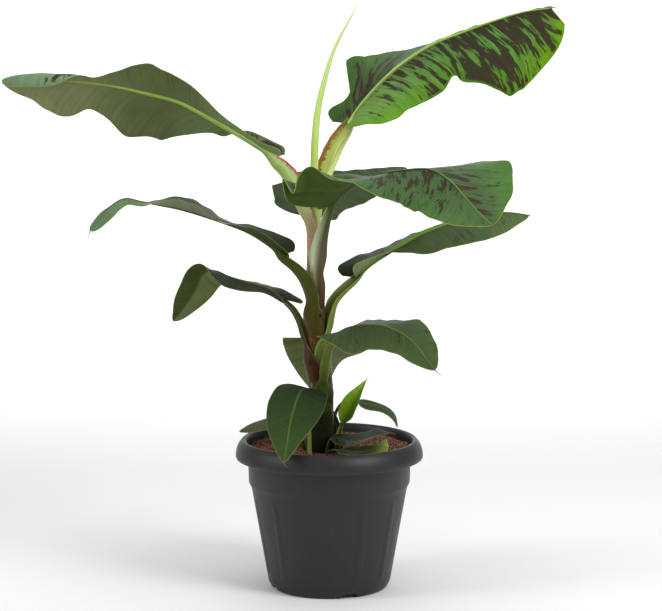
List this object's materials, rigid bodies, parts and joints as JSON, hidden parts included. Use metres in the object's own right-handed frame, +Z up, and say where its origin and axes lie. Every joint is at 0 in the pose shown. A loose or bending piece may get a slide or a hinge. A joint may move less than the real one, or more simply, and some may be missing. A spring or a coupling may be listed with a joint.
{
  "type": "potted banana plant",
  "caption": "Young banana plant: leaning pseudostem, arching paddle leaves and a rolled spear leaf, with low suckers, growing from coir in a round rimmed plastic pot.",
  "frame": {"origin": "centre of the pot's flat underside", "axes": "+Z up; -Y towards the front, the side the plant is seen from; +X to the right of that view"},
  "size_m": [0.8389, 0.5787, 0.9364],
  "materials": {
    "pot_plastic": "satin, moulded",
    "soil": "rough, fibrous",
    "pseudostem": "satin, with papery sheath edges",
    "petiole": "satin",
    "leaf": "satin, waxy",
    "young_leaf": "satin, waxy"
  },
  "bodies": {
    "root": {"pot": "pot_plastic", "soil": "soil", "pseudostem": "pseudostem", "spear_leaf": "young_leaf", "petiole_centre": "petiole", "petiole_front": "petiole", "petiole_high_left": "petiole", "petiole_high_right": "petiole", "petiole_low_left": "petiole", "petiole_low_rear": "petiole", "petiole_low_right": "petiole", "petiole_mid_left": "petiole", "petiole_mid_right": "petiole", "petiole_rear": "petiole", "petiole_small_left": "petiole", "petiole_soil_front": "petiole", "petiole_soil_right": "petiole", "petiole_sucker_new": "petiole", "petiole_sucker_right": "petiole", "stalk_stub": "petiole", "stalk_sucker_stalk": "petiole", "blade_centre_base": "leaf", "blade_centre_tip": "leaf", "blade_front_base": "leaf", "blade_front_tip": "leaf", "blade_high_left": "leaf", "blade_high_right": "leaf", "blade_low_left_base": "leaf", "blade_low_left_tip": "leaf", "blade_low_rear_base": "leaf", "blade_low_rear_tip": "leaf", "blade_low_right_base": "leaf", "blade_low_right_tip": "leaf", "blade_mid_left_base": "leaf", "blade_mid_left_tip": "leaf", "blade_mid_right": "leaf", "blade_rear": "leaf", "blade_small_left": "leaf", "blade_soil_front": "young_leaf", "blade_soil_right": "leaf", "blade_sucker_new": "young_leaf", "blade_sucker_right": "leaf"}
  },
  "joints": []
}
